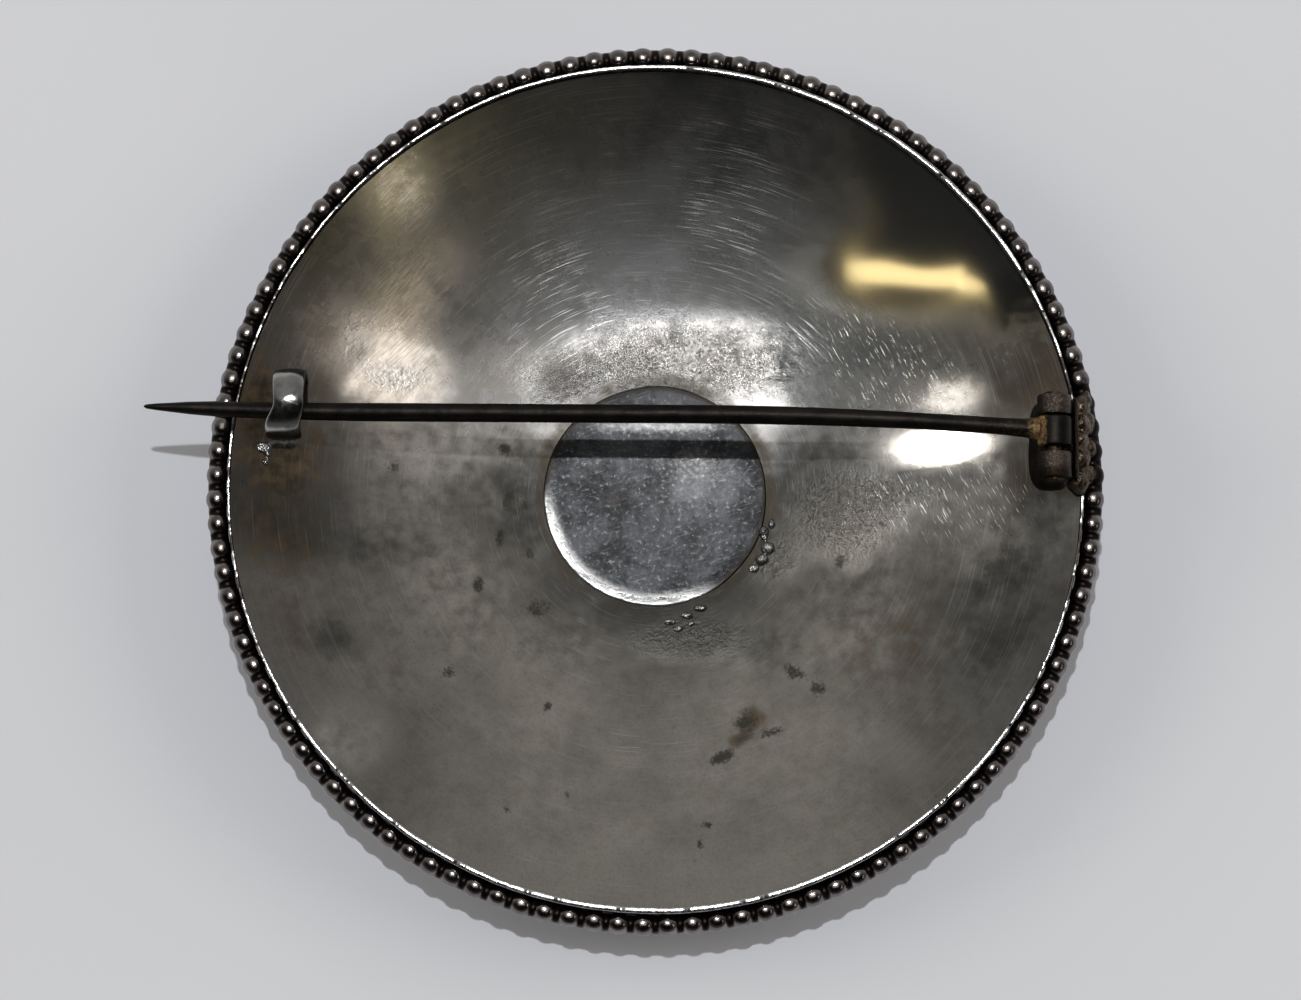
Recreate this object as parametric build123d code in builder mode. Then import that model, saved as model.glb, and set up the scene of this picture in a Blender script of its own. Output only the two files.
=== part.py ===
"""Round domed brooch of silver with an enamelled front, lying on its front with its back upwards.

Frame: X runs from the catch to the hinge, Y across the pin, Z up, away from the surface that the
brooch lies on. The origin is on that surface, under the middle of the whole outline, so the middle
of the disc is half the pin's overhang to the +X side of it.
"""

import os
from math import pi, sqrt

from build123d import *

# Driving dimensions, in millimetres

# Enamelled dish
dish_depth = 3.0
sheet_thickness = 0.4
enamel_thickness = 0.35
enamel_gap = 0.03

# Raised lip round the dish
lip_thickness = 0.25
lip_above_dish = 0.8

# Beaded wire soldered round the lip
across_beads = 45.4
bead_diameter = 1.14
bead_length = 1.12
bead_pitch = 1.241
bead_neck_diameter = 0.94
bead_root_inset = 0.03
bead_seat = 0.12
bead_below_lip = 0.85

# Round plate soldered to the middle of the dish
plate_diameter = 11.4
plate_step = 0.15
plate_bevel = 0.1

# Pin of springy wire, straight in the middle, slightly bent towards its neck, and slightly bent
# and tapered towards its point
pin_diameter = 0.94
pin_above_lip = 1.85
pin_overhang = 3.0
pin_side = 3.44
pin_side_drop = 0.1
pin_side_at_point = 3.61
straight_length = 16.0
rear_bend_length = 16.5
point_length = 3.6
point_root_diameter = 0.78
point_diameter = 0.26
neck_diameter = 1.14
neck_length = 0.7
neck_side_of_eye = 0.17

# Tube hinge on a soldered foot
hinge_from_lip = 1.38
hinge_side = 2.21
hinge_length = 4.22
near_knuckle_length = 1.32
far_knuckle_length = 1.02
knuckle_diameter = 1.72
knuckle_bore_clearance = 0.02
eye_length = 1.5
eye_end_gap = 0.08
eye_running_clearance = 0.04
eye_floor_gap = 0.3
foot_width = 2.8
foot_top_width = 1.3
foot_spread = 0.3

# Rivet through the hinge, with peened ends
rivet_diameter = 0.7
rivet_head_diameter = 1.0
rivet_head_height = 0.14
rivet_head_gap = 0.02

# Hooked catch bent from strip, its mouth towards -Y
catch_from_lip = 2.93
catch_width = 1.8
catch_thickness = 0.42
catch_inner_radius = 1.38
catch_side_of_pin = 0.43
pin_to_hook_gap = 0.15
hook_tip_drop = 0.35
hook_tip_rounding = 0.45
catch_base_length = 4.4
catch_base_thickness = 0.3

# Disc: concentric layers, each between two balls round one centre above the brooch
bead_radius = bead_diameter / 2
bead_ring_radius = across_beads / 2 - bead_radius
bead_count = round(2 * pi * bead_ring_radius / bead_pitch)
lip_outer_radius = bead_ring_radius - bead_radius + bead_seat
lip_inner_radius = lip_outer_radius - lip_thickness
enamel_radius = lip_inner_radius - enamel_gap
back_ball_radius = (lip_inner_radius**2 + dish_depth**2) / (2 * dish_depth)
sheet_ball_radius = back_ball_radius + sheet_thickness
enamel_back_ball_radius = sheet_ball_radius + enamel_gap
front_ball_radius = enamel_back_ball_radius + enamel_thickness
ball_centre_height = front_ball_radius
disc_x = pin_overhang / 2


def layer_height(ball_radius, radius):
    """Height of a layer's surface at a radius from the middle of the disc."""
    return ball_centre_height - sqrt(ball_radius**2 - radius**2)


lip_top_height = layer_height(back_ball_radius, lip_inner_radius) + lip_above_dish
lip_foot_height = layer_height(front_ball_radius, lip_outer_radius)
bead_height = lip_top_height - bead_below_lip
plate_radius = plate_diameter / 2
plate_top_height = layer_height(back_ball_radius, plate_radius) + plate_step

# Pin and hinge
pin_height = lip_top_height + pin_above_lip
pin_radius = pin_diameter / 2
hinge_x = disc_x + lip_inner_radius - hinge_from_lip
knuckle_radius = knuckle_diameter / 2
rivet_radius = rivet_diameter / 2
hinge_near_side = hinge_side - hinge_length / 2
hinge_far_side = hinge_side + hinge_length / 2
slot_near_side = hinge_near_side + near_knuckle_length
slot_far_side = hinge_far_side - far_knuckle_length
slot_floor_height = pin_height - knuckle_radius - eye_floor_gap
eye_far_side = slot_far_side - eye_end_gap
eye_near_side = eye_far_side - eye_length
tip_x = disc_x - across_beads / 2 - pin_overhang
neck_x = hinge_x - knuckle_radius - neck_length
rear_bend_x = neck_x - rear_bend_length
front_bend_x = rear_bend_x - straight_length
point_x = tip_x + point_length
neck_side = (eye_near_side + eye_far_side) / 2 + neck_side_of_eye

# Course of the pin's middle, seen from above
with BuildLine():
    straight = Line(
        (front_bend_x, pin_side, pin_height),
        (rear_bend_x, pin_side - pin_side_drop, pin_height),
    )
    rear_bend = TangentArc(straight @ 1, (neck_x, neck_side, pin_height), tangent=straight % 1)
    front_bend = TangentArc(
        straight @ 0,
        (point_x, pin_side_at_point, pin_height),
        tangent=-(straight % 0),
    )

# Catch: the pin rests just under the hook, a little to the -Y side of its middle.
catch_x = disc_x - lip_inner_radius + catch_from_lip
taper_at_hook = (front_bend_x - catch_x) / (front_bend_x - point_x)
pin_radius_at_hook = pin_radius - taper_at_hook * (pin_radius - point_root_diameter / 2)
hook_side = (front_bend @ taper_at_hook).Y + catch_side_of_pin
hook_radius = catch_inner_radius + catch_thickness / 2
pin_room = catch_inner_radius - pin_radius_at_hook - pin_to_hook_gap
hook_height = pin_height - sqrt(pin_room**2 - catch_side_of_pin**2)

disc_axis = Axis((disc_x, 0, 0), (0, 0, 1))
disc_section = Plane.XZ.move(Location((disc_x, 0, 0)))


def hinge_section(side):
    """Plane across the hinge's axis, at a distance from the X axis, with its normal along +Y."""
    return Plane(origin=(hinge_x, side, pin_height), x_dir=(0, 0, 1), z_dir=(0, 1, 0))


# Plate, catch and hinge are soldered to the dish, so each is trimmed to the space above the middle
# of the sheet and inside the middle of the lip.
with BuildPart() as above_sheet:
    with Locations((disc_x, 0, ball_centre_height)):
        Sphere(back_ball_radius + sheet_thickness / 2)
    with Locations((disc_x, 0, 0)):
        Cylinder(
            lip_outer_radius - lip_thickness / 2,
            ball_centre_height,
            align=(Align.CENTER, Align.CENTER, Align.MIN),
            mode=Mode.INTERSECT,
        )

# Dish and lip, turned round the disc's axis
with BuildPart() as dish:
    with BuildSketch(disc_section):
        with BuildLine():
            back_apex = (0, ball_centre_height - back_ball_radius)
            front_apex = (0, ball_centre_height - sheet_ball_radius)
            front_edge = (lip_inner_radius, layer_height(sheet_ball_radius, lip_inner_radius))
            back_edge = (lip_inner_radius, layer_height(back_ball_radius, lip_inner_radius))
            Line(back_apex, front_apex)
            RadiusArc(front_apex, front_edge, -sheet_ball_radius)
            Polyline(
                front_edge,
                (lip_inner_radius, lip_foot_height),
                (lip_outer_radius, lip_foot_height),
                (lip_outer_radius, lip_top_height),
                (lip_inner_radius, lip_top_height),
                back_edge,
            )
            RadiusArc(back_apex, back_edge, -back_ball_radius)
        make_face()
    revolve(axis=disc_axis)

# One bead, a barrel round its own Y axis
with BuildPart() as bead:
    with BuildSketch():
        with BuildLine():
            root = bead_neck_diameter / 2 - bead_root_inset
            crown = ThreePointArc((root, -bead_length / 2), (bead_radius, 0), (root, bead_length / 2))
            Polyline(crown @ 1, (0, bead_length / 2), (0, -bead_length / 2), crown @ 0)
        make_face()
    revolve(axis=Axis.Y)

# Beaded wire: a round wire with a barrel at every pitch
with BuildPart() as beaded_wire:
    with BuildSketch(disc_section):
        with Locations((bead_ring_radius, bead_height)):
            Circle(bead_neck_diameter / 2)
    revolve(axis=disc_axis)
    with Locations((disc_x, 0, bead_height)):
        with PolarLocations(bead_ring_radius, bead_count):
            add(bead.part)

# Centre plate with a bevelled rim
with BuildPart() as centre_plate:
    with Locations((disc_x, 0, 0)):
        Cylinder(plate_radius, plate_top_height, align=(Align.CENTER, Align.CENTER, Align.MIN))
    chamfer(centre_plate.faces().sort_by(Axis.Z)[-1].edges(), plate_bevel)
    add(above_sheet.part, mode=Mode.INTERSECT)

# Base of the catch, a thin strip that follows the dish
with BuildPart() as catch_base:
    with Locations((catch_x, hook_side + hook_radius + catch_thickness / 2, 0)):
        Box(
            catch_width,
            catch_base_length,
            hook_height,
            align=(Align.CENTER, Align.MAX, Align.MIN),
        )
    with Locations((disc_x, 0, ball_centre_height)):
        Sphere(back_ball_radius - catch_base_thickness, mode=Mode.SUBTRACT)
    add(above_sheet.part, mode=Mode.INTERSECT)

# Catch: the strip rises behind the pin, bends over it and drops again, with a rounded end
with BuildPart() as catch:
    with BuildSketch(Plane.YZ.offset(catch_x - catch_width / 2)):
        with BuildLine() as strip:
            free_side = (hook_side - hook_radius, hook_height)
            fixed_side = (hook_side + hook_radius, hook_height)
            Line((hook_side - hook_radius, hook_height - hook_tip_drop), free_side)
            ThreePointArc(free_side, (hook_side, hook_height + hook_radius), fixed_side)
            Line(fixed_side, (hook_side + hook_radius, 0))
        trace(strip.line, line_width=catch_thickness)
    extrude(amount=catch_width)
    fillet(catch.edges().filter_by(Axis.Y).sort_by(Axis.Y)[:2], hook_tip_rounding)
    add(above_sheet.part, mode=Mode.INTERSECT)
    add(catch_base.part)

# Hinge: two outer knuckles on a tapered foot, which has a slot for the pin's eye
with BuildPart() as hinge:
    with BuildSketch():
        with Locations((hinge_x, hinge_side)):
            Rectangle(foot_width, hinge_length + 2 * foot_spread)
    with BuildSketch(Plane.XY.offset(pin_height)):
        with Locations((hinge_x, hinge_side)):
            Rectangle(foot_top_width, hinge_length)
    loft()
    with BuildSketch(hinge_section(hinge_near_side)):
        Circle(knuckle_radius)
    extrude(amount=hinge_length)
    with Locations((hinge_x, slot_near_side, slot_floor_height)):
        Box(
            foot_width,
            slot_far_side - slot_near_side,
            pin_height,
            align=(Align.CENTER, Align.MIN, Align.MIN),
            mode=Mode.SUBTRACT,
        )
    with BuildSketch(hinge_section(hinge_near_side)):
        Circle(rivet_radius + knuckle_bore_clearance)
    extrude(amount=hinge_length, mode=Mode.SUBTRACT)
    add(above_sheet.part, mode=Mode.INTERSECT)

# All the soldered silver, one solid
with BuildPart() as silver_back:
    add(dish.part)
    add(beaded_wire.part)
    add(centre_plate.part)
    add(catch.part)
    add(hinge.part)

# Enamel on the domed front, up to the lip
with BuildPart() as enamel_front:
    with BuildSketch(disc_section):
        with BuildLine():
            enamel_back_apex = (0, ball_centre_height - enamel_back_ball_radius)
            enamel_back_edge = (enamel_radius, layer_height(enamel_back_ball_radius, enamel_radius))
            enamel_front_edge = (enamel_radius, layer_height(front_ball_radius, enamel_radius))
            Line(enamel_back_apex, (0, 0))
            RadiusArc((0, 0), enamel_front_edge, -front_ball_radius)
            Line(enamel_front_edge, enamel_back_edge)
            RadiusArc(enamel_back_apex, enamel_back_edge, -enamel_back_ball_radius)
        make_face()
    revolve(axis=disc_axis)

# Rivet, with a peened head at each end
with BuildPart() as hinge_rivet:
    rivet_length = hinge_length + 2 * rivet_head_gap
    rivet_start = hinge_near_side - rivet_head_gap
    with BuildSketch(hinge_section(rivet_start)):
        Circle(rivet_radius)
    extrude(amount=rivet_length)
    for head_start in (rivet_start - rivet_head_height, rivet_start + rivet_length):
        with BuildSketch(hinge_section(head_start)):
            Circle(rivet_head_diameter / 2)
        extrude(amount=rivet_head_height)
    head_rims = hinge_rivet.edges().filter_by(GeomType.CIRCLE).sort_by(Axis.Y)
    chamfer([head_rims[0], head_rims[-1]], rivet_head_height / 2)

# Pin: shank with its point, the neck and the eye that turns on the rivet
with BuildPart() as pin:
    for stretch in (straight, rear_bend):
        with BuildSketch(Plane(origin=stretch @ 0, z_dir=stretch % 0)):
            Circle(pin_radius)
        sweep(path=stretch)
    point_start = Plane(origin=front_bend @ 1, z_dir=front_bend % 1)
    with BuildSketch(Plane(origin=front_bend @ 0, z_dir=front_bend % 0)):
        Circle(pin_radius)
    with BuildSketch(point_start):
        Circle(point_root_diameter / 2)
    loft()
    with BuildSketch(point_start):
        Circle(point_root_diameter / 2)
    with BuildSketch(point_start.offset(point_length)):
        Circle(point_diameter / 2)
    loft()
    neck_start = Plane(origin=rear_bend @ 1, z_dir=rear_bend % 1)
    with BuildSketch(neck_start):
        Circle(pin_radius)
    with BuildSketch(neck_start.offset(neck_length)):
        Circle(neck_diameter / 2)
    loft()
    with BuildSketch(neck_start.offset(neck_length)):
        Circle(neck_diameter / 2)
    extrude(amount=knuckle_radius)
    with BuildSketch(hinge_section(eye_near_side)):
        Circle(knuckle_radius)
    extrude(amount=eye_length)
    with BuildSketch(hinge_section(eye_near_side)):
        Circle(rivet_radius + eye_running_clearance)
    extrude(amount=eye_length, mode=Mode.SUBTRACT)

silver_back.part.label = "silver_back"
enamel_front.part.label = "enamel_front"
hinge_rivet.part.label = "hinge_rivet"
pin.part.label = "pin"

os.makedirs("parts", exist_ok=True)
export_step(silver_back.part, "parts/silver_back.step")
export_step(enamel_front.part, "parts/enamel_front.step")
export_step(hinge_rivet.part, "parts/hinge_rivet.step")
export_step(pin.part, "parts/pin.step")
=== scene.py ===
"""Looks of a round enamel brooch that lies on its front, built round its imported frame.

Shapes are worked out in millimetres in the part's own frame, with the middle of the disc disc_x
along +X, and turned into metres when a mesh is made. Marks are placed by the pixel of the
photograph, 1301 wide and 1000 high, where they show.
"""

from itertools import product
from math import cos, pi, radians, sin, sqrt

import bmesh
import bpy
import numpy as np
from mathutils import Matrix, Vector


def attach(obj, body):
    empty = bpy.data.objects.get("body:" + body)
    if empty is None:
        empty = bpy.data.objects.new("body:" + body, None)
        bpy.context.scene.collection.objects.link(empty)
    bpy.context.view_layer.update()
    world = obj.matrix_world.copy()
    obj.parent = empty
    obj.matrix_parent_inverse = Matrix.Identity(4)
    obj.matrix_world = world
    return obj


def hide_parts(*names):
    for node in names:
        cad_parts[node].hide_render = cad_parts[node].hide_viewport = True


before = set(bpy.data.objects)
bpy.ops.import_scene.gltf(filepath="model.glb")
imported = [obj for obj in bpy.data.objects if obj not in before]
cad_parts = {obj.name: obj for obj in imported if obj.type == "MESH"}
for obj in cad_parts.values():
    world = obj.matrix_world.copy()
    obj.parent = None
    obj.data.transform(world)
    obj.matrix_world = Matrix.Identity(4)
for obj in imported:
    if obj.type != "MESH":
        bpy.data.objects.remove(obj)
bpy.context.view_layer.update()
scene = bpy.context.scene

MM = 0.001

# Sizes of the part, in millimetres
disc_x = 1.5
dish_ball_radius = 78.04
ball_centre_height = 78.82
sheet_thickness = 0.4
enamel_gap = 0.03
enamel_thickness = 0.35
lip_inner_radius = 21.43
lip_outer_radius = 21.68
lip_foot_height = 3.04
lip_top_height = 4.58
bead_ring_radius = 22.13
bead_height = 3.73
bead_radius = 0.57
bead_count = 112
plate_radius = 5.7
plate_top_height = 1.14
pin_height = 6.43
pin_radius = 0.47
tip_x = -24.2
point_x = -20.6
front_bend_x = -12.51
rear_bend_x = 3.49
neck_x = 19.99
pin_side = 3.44
pin_side_drop = 0.1
pin_side_at_point = 3.61
neck_side = 2.64
point_root_radius = 0.39
neck_radius = 0.57
neck_length = 0.7
hinge_x = 21.55
knuckle_radius = 0.86
eye_sides = (1.72, 3.22)
eye_bore_radius = 0.39
eye_radius = 0.86
rivet_radius = 0.35
rivet_head_radius = 0.5
foot_side = 2.21
foot_bottom = 2.6
slot_floor_height = 5.27
wall_x = 22.65
wall_height = 5.5
catch_x = -17.0
catch_thickness = 0.42
hook_side = 3.935
hook_height = 5.75
hook_radius = 1.59
hook_tip_drop = 0.35
catch_base_length = 1.9
catch_base_thickness = 0.3

# How finely round pieces are divided
dish_steps, dish_around = 120, 360
lip_around = 1440
bead_steps, bead_around = 16, 22
plate_around = 240
enamel_around = 300
bar_around = 48
pin_around = 28

# Camera, at the photograph's angle: it looks down from the -Y side of straight above
photo_width, photo_height = 1301, 1000
camera_tilt = radians(8.6)
camera_distance = 380.0
camera_target = Vector((1.26, -0.74, 4.58))
sensor_width = 36.0
view_width_at_target = 65.57
pixel_size = view_width_at_target / photo_width
camera_lens = sensor_width * camera_distance / view_width_at_target
camera_back = Vector((0, -sin(camera_tilt), cos(camera_tilt)))
camera_place = camera_target + camera_distance * camera_back

# Lights: sizes and distances in metres
flash_size = 0.02
panel_distance = 0.6
white, cool, warm = (1.0, 1.0, 1.0), (0.96, 1.0, 1.07), (1.07, 1.0, 0.90)
lamp_yellow = (1.0, 0.78, 0.38)


def at_pixel(x, y, height):
    """Where the camera sees a pixel of the photograph, on the level at a height."""
    pixel = pixel_size / camera_distance
    up = Vector((0, cos(camera_tilt), sin(camera_tilt)))
    ray = -camera_back + Vector((1, 0, 0)) * (x - photo_width / 2) * pixel
    ray -= up * (y - photo_height / 2) * pixel
    return camera_place + ray * ((height - camera_place.z) / ray.z)


def dish_height(radius, ball_radius=dish_ball_radius):
    """Height of the back of the dish, or of a layer with another ball radius, at a radius from the
    middle of the disc."""
    return ball_centre_height - np.sqrt(ball_radius**2 - radius**2)


def on_dish(x, y):
    """Where the camera sees a pixel of the photograph, on the dish."""
    height = 1.5
    for _ in range(4):
        point = at_pixel(x, y, height)
        height = float(dish_height(min(sqrt((point.x - disc_x) ** 2 + point.y**2), lip_inner_radius)))
    return point


# Shape helpers
x_way, y_way, z_way = np.eye(3)


def smooth_step(low, high, value):
    """0 at low, 1 at high, and a smooth change between them."""
    t = np.clip((value - low) / (high - low), 0, 1)
    return t * t * (3 - 2 * t)


def bell(value, middle, spread, power=2):
    """1 at a middle value, falling off over a spread, with a flatter top for a higher power."""
    return np.exp(-(((value - middle) / spread) ** power))


def noise_at(points, scale, seed):
    """Smooth seeded noise from -1 to 1 at points in rows of three, with features about scale wide."""
    table = np.random.default_rng(seed).uniform(-1, 1, (32, 32, 32))
    grid = np.asarray(points, float) / scale
    cell = np.floor(grid).astype(int)
    t = grid - cell
    t = t * t * (3 - 2 * t)
    total = np.zeros(grid.shape[:-1])
    for corner in product((0, 1), repeat=3):
        weight = np.prod(np.where(corner, t, 1 - t), axis=-1)
        index = (cell + corner) % 32
        total += weight * table[index[..., 0], index[..., 1], index[..., 2]]
    return total


def dents(points, depth, scale, seed):
    """Seeded dents of a depth, never outward."""
    return depth * np.abs(noise_at(points, scale, seed))


def full_turn(count):
    """Angles all round, in radians."""
    return np.linspace(0, 2 * pi, count, endpoint=False)


def polar(radius, angle, height):
    """Points at radii, angles and heights round the disc's axis."""
    radius, angle, height = np.broadcast_arrays(radius, angle, height)
    return np.stack([disc_x + radius * np.cos(angle), radius * np.sin(angle), height], axis=-1)


def rolled(profile, around):
    """Rings round the rivet's axis, from a profile of radii and sides."""
    turn = full_turn(around)
    return np.array([
        np.stack([hinge_x + r * np.cos(turn), np.full(around, y), pin_height + r * np.sin(turn)], axis=-1)
        for r, y in profile
    ])


def sweep(path, side, up, widths, heights, power=2.0, around=bar_around):
    """Rounded sections along a path: side and up are each section's own directions."""
    turn = full_turn(around)
    c, s = np.cos(turn), np.sin(turn)
    across = np.sign(c) * np.abs(c) ** (2 / power)
    over = np.sign(s) * np.abs(s) ** (2 / power)
    side = np.broadcast_to(side, path.shape)
    up = np.broadcast_to(up, path.shape)
    widths = np.broadcast_to(widths, len(path))[:, None, None]
    heights = np.broadcast_to(heights, len(path))[:, None, None]
    return path[:, None] + side[:, None] * widths * across[:, None] + up[:, None] * heights * over[:, None]


def soft_ends(count, end):
    """1 along a row of sections, falling to end over the first and the last two."""
    return np.interp(np.arange(count), [0, 2, count - 3, count - 1], [end, 1, 1, end])


def solid(rings, loop=False, noise=None):
    """Points and faces of a closed skin over rings: a loop of them, or a row with a cap at each end.
    Noise is a depth, a size and a seed, and roughens it."""
    rings = np.asarray(rings)
    count, around = rings.shape[:2]
    points = rings.reshape(-1, 3)
    faces = []
    for i in range(count if loop else count - 1):
        near, far = i * around, (i + 1) % count * around
        for j in range(around):
            k = (j + 1) % around
            faces.append((near + j, near + k, far + k, far + j))
    if not loop:
        points = np.concatenate([points, [rings[0].mean(axis=0), rings[-1].mean(axis=0)]])
        middle, last = count * around, (count - 1) * around
        faces += [(middle, (j + 1) % around, j) for j in range(around)]
        faces += [(middle + 1, last + j, last + (j + 1) % around) for j in range(around)]
    if noise:
        depth, size, seed = noise
        points = points + depth * noise_at(points, size, seed)[:, None]
    return points, faces


all_pieces = []
silver_back = ("brooch", "silver", "silver_back")
turning_pin = ("pin", "pin_steel", "pin")


def new_piece(name, points, faces, material, belongs=silver_back, sharp=40.0, **fields):
    """A mesh piece from points in millimetres. Belongs is its body, its slot, which is not used, and the node
    that it replaces, sharp the angle in degrees from which an edge isn't smoothed, and each field a value or
    a row of values for the material."""
    mesh = bpy.data.meshes.new(name)
    mesh.from_pydata((points * MM).tolist(), [], faces)
    for key, values in fields.items():
        layer = mesh.attributes.new(key, "FLOAT", "POINT")
        layer.data.foreach_set("value", np.array(np.broadcast_to(np.ravel(values), len(points)), np.float32))
    shape = bmesh.new()
    shape.from_mesh(mesh)
    bmesh.ops.recalc_face_normals(shape, faces=shape.faces)
    shape.to_mesh(mesh)
    shape.free()
    mesh.shade_smooth()
    mesh.set_sharp_from_angle(angle=radians(sharp))
    mesh.materials.append(material)
    piece = bpy.data.objects.new(name, mesh)
    scene.collection.objects.link(piece)
    body, slot, node = belongs
    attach(piece, body)
    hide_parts(node)
    all_pieces.append(piece)
    return piece


# Material helpers
class Nodes:
    """A node tree, filled by short calls that return an output socket."""

    def __init__(self, tree):
        self.tree = tree

    def node(self, kind, inputs=(), **settings):
        """A node with its settings, and inputs given as values or as sockets to link."""
        made = self.tree.nodes.new(kind)
        for key, value in settings.items():
            setattr(made, key, value)
        for key, value in dict(inputs).items():
            self.put(made.inputs[key], value)
        return made

    def put(self, socket, value):
        """A value or a link on a socket."""
        if isinstance(value, bpy.types.NodeSocket):
            self.tree.links.new(value, socket)
        else:
            socket.default_value = value

    def math(self, operation, a, b):
        return self.node("ShaderNodeMath", {0: a, 1: b}, operation=operation).outputs[0]

    def plus(self, a, b):
        return self.math("ADD", a, b)

    def minus(self, a, b):
        return self.math("SUBTRACT", a, b)

    def times(self, a, b):
        return self.math("MULTIPLY", a, b)

    def rise(self, value, low, high, bottom=0.0, top=1.0):
        """A smooth rise from bottom to top between two values."""
        inputs = {"Value": value, 1: low, 2: high, 3: bottom, 4: top}
        return self.node("ShaderNodeMapRange", inputs, interpolation_type="SMOOTHSTEP").outputs[0]


class Shader(Nodes):
    """The nodes of a new material."""

    def __init__(self, name):
        self.material = bpy.data.materials.new(name)
        self.material.use_nodes = True
        super().__init__(self.material.node_tree)
        self.surface = self.tree.nodes["Principled BSDF"]
        self.object_space = self.node("ShaderNodeTexCoord").outputs["Object"]

    def vector(self, operation, a, b=(0, 0, 0)):
        """The outputs of a sum with vectors."""
        return self.node("ShaderNodeVectorMath", {0: a, 1: b}, operation=operation).outputs

    def field(self, name):
        return self.node("ShaderNodeAttribute", attribute_name=name).outputs["Fac"]

    def patch(self, name, loose, low, high):
        """Where a field is high, with its edges broken up by loose noise."""
        return self.rise(self.plus(self.field(name), loose), low, high)

    def noise(self, size, detail, roughness, distortion=0.0):
        """Noise with features of a size in millimetres, about 0.5 in the middle."""
        return self.noise_over(self.object_space, detail, roughness, distortion, 1 / (size * MM))

    def noise_over(self, vector, detail, roughness=0.5, distortion=0.0, scale=1.0):
        """Noise over a place that may already be stretched."""
        inputs = {"Vector": vector, "Scale": scale, "Detail": detail, "Roughness": roughness}
        inputs["Distortion"] = distortion
        return self.node("ShaderNodeTexNoise", inputs).outputs["Fac"]

    def turned_lines(self, spacing, reach, detail):
        """Noise drawn out into arcs round the disc's axis, without a seam."""
        centred = self.vector("SUBTRACT", self.object_space, (disc_x * MM, 0, 0))[0]
        flat = self.vector("MULTIPLY", centred, (1 / MM, 1 / MM, 0))[0]
        radius = self.math("DIVIDE", self.vector("LENGTH", flat)["Value"], spacing)
        way = self.node("ShaderNodeSeparateXYZ", {0: self.vector("NORMALIZE", flat)[0]}).outputs
        place = {0: radius, 1: self.times(way[0], reach), 2: self.times(way[1], reach)}
        return self.noise_over(self.node("ShaderNodeCombineXYZ", place).outputs[0], detail, 0.6)

    def strokes(self, angle, width, length):
        """Noise drawn out into straight strokes, by their angle in degrees and size in millimetres."""
        inputs = {"Vector": self.object_space, "Angle": -radians(angle)}
        turned = self.node("ShaderNodeVectorRotate", inputs, rotation_type="Z_AXIS").outputs[0]
        return self.noise_over(self.vector("MULTIPLY", turned, (1 / length / MM, 1 / width / MM, 0))[0], 2.0)

    def mix(self, amount, a, b):
        """One colour over another."""
        inputs = {"Factor": amount, "A": a, "B": b}
        return self.node("ShaderNodeMix", inputs, data_type="RGBA").outputs["Result"]

    def layers(self, colour, *layers):
        """A colour under others, each laid over it by its own amount."""
        for amount, over in layers:
            colour = self.mix(amount, colour, over)
        return colour

    def bump(self, height, depth, under=None):
        """A normal from a height of 0 to 1, depth in millimetres."""
        inputs = {"Height": height, "Distance": depth * MM, "Strength": 1.0}
        if under is not None:
            inputs["Normal"] = under
        return self.node("ShaderNodeBump", inputs).outputs["Normal"]

    def finish(self, **inputs):
        """The surface's own inputs, by name with underscores, and the finished material."""
        for key, value in inputs.items():
            self.put(self.surface.inputs[key.replace("_", " ")], value)
        return self.material


def tint(level, red=1.0, green=1.0, blue=1.0):
    """A linear colour from its level and the share of each primary."""
    return (level * red, level * green, level * blue, 1.0)


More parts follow.
